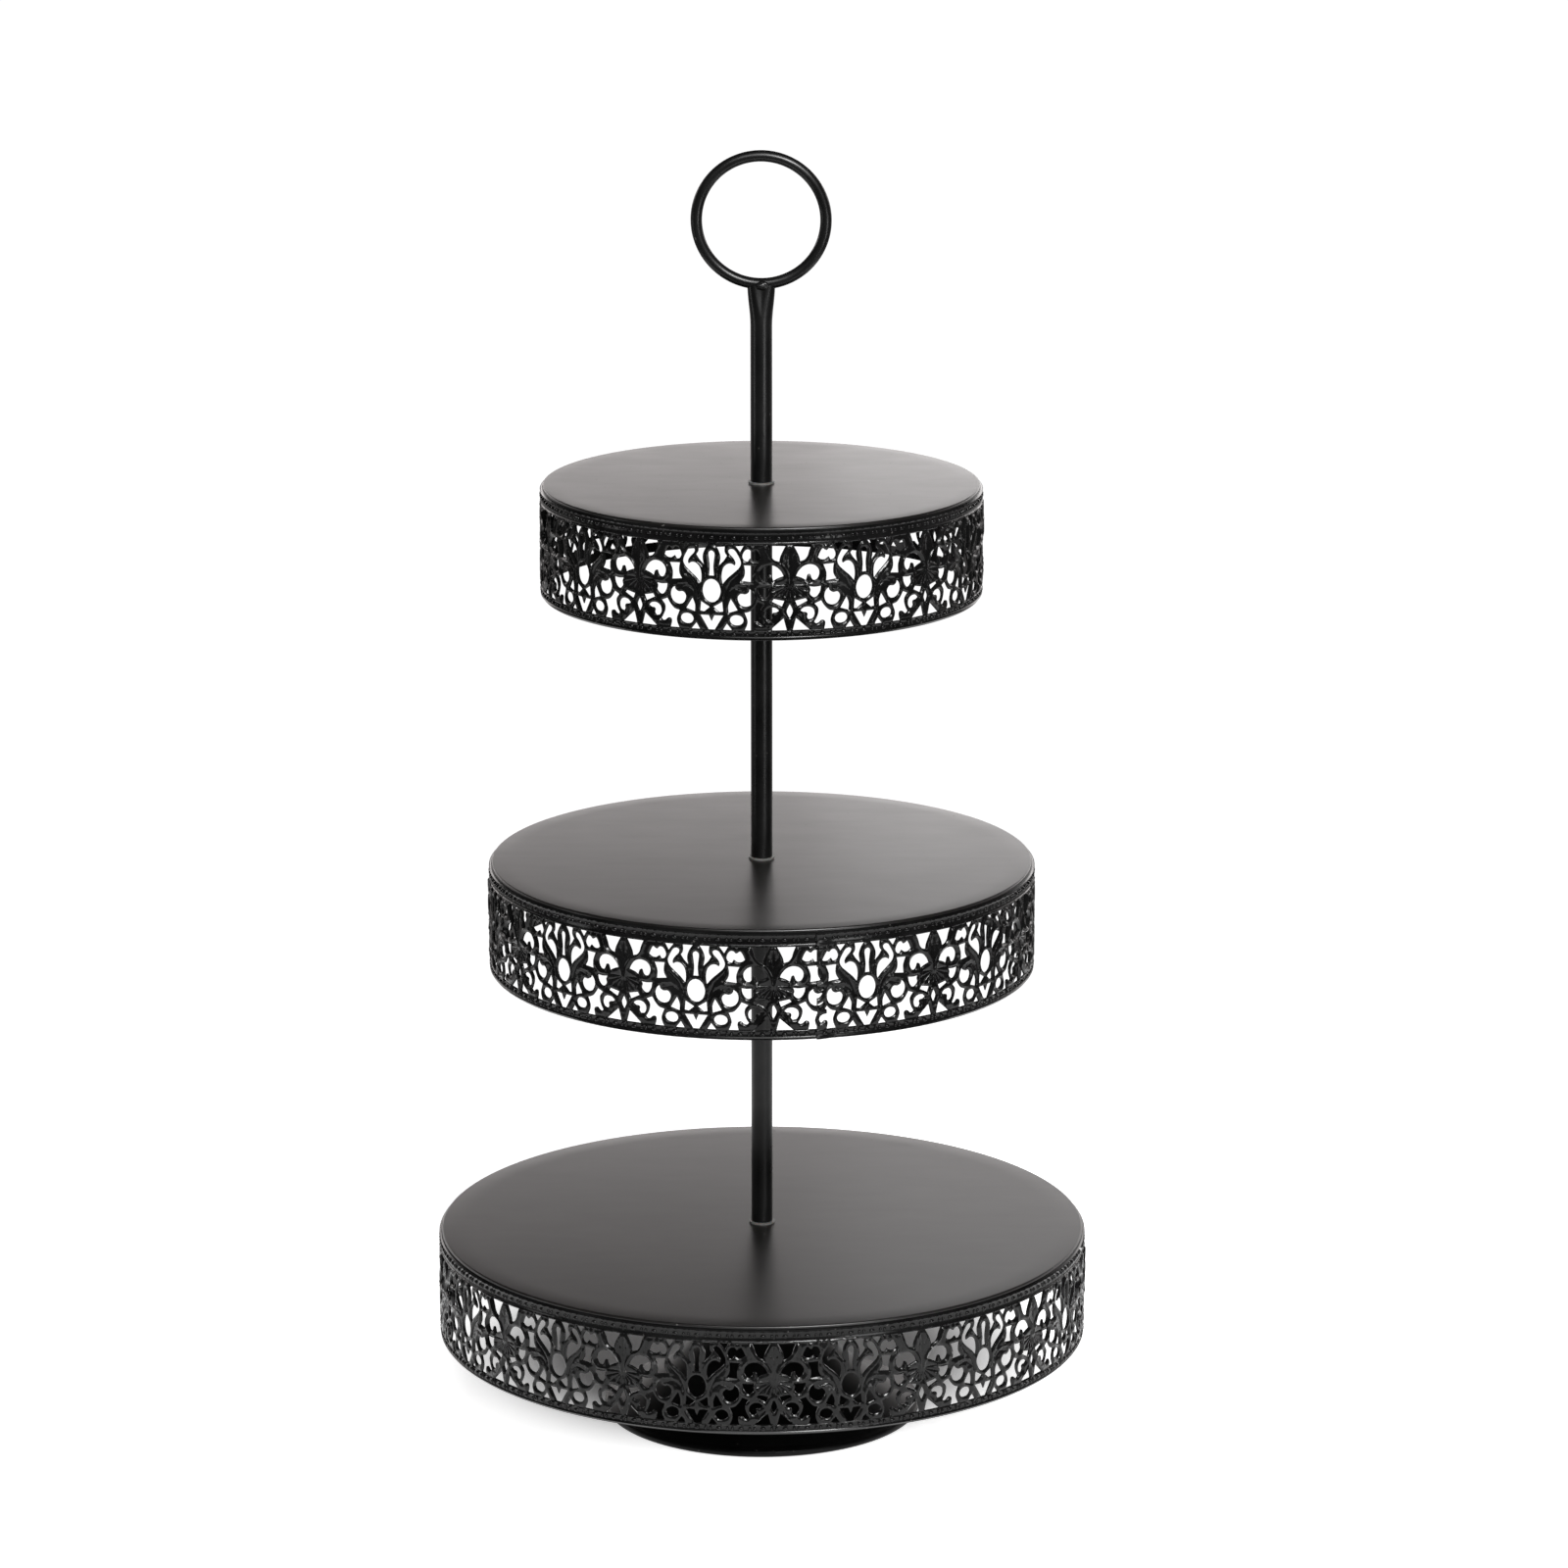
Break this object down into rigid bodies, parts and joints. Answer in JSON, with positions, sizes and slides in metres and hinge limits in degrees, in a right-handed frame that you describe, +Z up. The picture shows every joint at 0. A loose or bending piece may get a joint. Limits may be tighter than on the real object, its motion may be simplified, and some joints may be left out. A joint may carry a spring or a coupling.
{
  "type": "tiered cake stand",
  "caption": "Tiered cake stand: round painted-steel trays with pierced lace bands on screw-together rods, over a spun foot, with a ring handle on top.",
  "frame": {"origin": "on the table, at the middle of the foot", "axes": "+Z up along the rods; the ring handle lies in the XZ plane and the front faces -Y"},
  "size_m": [0.3048, 0.3048, 0.6031],
  "materials": {
    "black_paint": "satin black powder coat",
    "zinc_steel": "zinc-plated steel",
    "nylon": "translucent nylon washer",
    "pad_rubber": "soft black rubber pad"
  },
  "bodies": {
    "pedestal": {"pedestal_foot": "black_paint", "pedestal_foot_ring": "black_paint", "pedestal_foot_pads": "pad_rubber", "pedestal_flange": "black_paint", "pedestal_weld_nut": "zinc_steel"},
    "bottom_tier": {"bottom_tray": "black_paint", "bottom_lace_band": "black_paint"},
    "middle_tier": {"middle_tray": "black_paint", "middle_lace_band": "black_paint", "middle_tray_washer": "zinc_steel"},
    "top_tier": {"top_tray": "black_paint", "top_lace_band": "black_paint", "top_tray_washer": "zinc_steel"},
    "lower_washer": {"lower_rod_washer": "nylon"},
    "lower_rod": {"lower_rod_tube": "black_paint", "lower_rod_stud": "zinc_steel", "lower_rod_socket": "zinc_steel"},
    "middle_washer": {"middle_rod_washer": "nylon"},
    "middle_rod": {"middle_rod_tube": "black_paint", "middle_rod_stud": "zinc_steel", "middle_rod_socket": "zinc_steel"},
    "upper_washer": {"handle_washer": "nylon"},
    "handle": {"handle_tube": "black_paint", "handle_ring": "black_paint", "handle_stud": "zinc_steel", "handle_weld": "black_paint"}
  },
  "joints": [
    {"name": "lower_rod_rise", "type": "slide", "parent": "pedestal", "child": "lower_washer", "axis": [0, 0, 1], "range_m": [0, 0.012]},
    {"name": "lower_rod_unscrew", "type": "hinge", "parent": "lower_washer", "child": "lower_rod", "pos_m": [0, 0, 0.0928], "axis": [0, 0, 1], "range_deg": [0, 4325]},
    {"name": "middle_rod_rise", "type": "slide", "parent": "lower_rod", "child": "middle_washer", "axis": [0, 0, 1], "range_m": [0, 0.012]},
    {"name": "middle_rod_unscrew", "type": "hinge", "parent": "middle_washer", "child": "middle_rod", "pos_m": [0, 0, 0.2713], "axis": [0, 0, 1], "range_deg": [0, 4325]},
    {"name": "handle_rise", "type": "slide", "parent": "middle_rod", "child": "upper_washer", "axis": [0, 0, 1], "range_m": [0, 0.012]},
    {"name": "handle_unscrew", "type": "hinge", "parent": "upper_washer", "child": "handle", "pos_m": [0, 0, 0.4498], "axis": [0, 0, 1], "range_deg": [0, 4325]},
    {"name": "bottom_tray_turn", "type": "hinge", "parent": "pedestal", "child": "bottom_tier", "pos_m": [0, 0, 0.0908], "axis": [0, 0, 1], "continuous": true},
    {"name": "middle_tray_turn", "type": "hinge", "parent": "lower_rod", "child": "middle_tier", "pos_m": [0, 0, 0.2678], "axis": [0, 0, 1], "continuous": true},
    {"name": "top_tray_turn", "type": "hinge", "parent": "middle_rod", "child": "top_tier", "pos_m": [0, 0, 0.4463], "axis": [0, 0, 1], "continuous": true}
  ],
  "couplings": [
    {"joint": "lower_rod_unscrew", "follows": "lower_rod_rise", "rad_per_m": 6283.2},
    {"joint": "middle_rod_unscrew", "follows": "middle_rod_rise", "rad_per_m": 6283.2},
    {"joint": "handle_unscrew", "follows": "handle_rise", "rad_per_m": 6283.2}
  ]
}
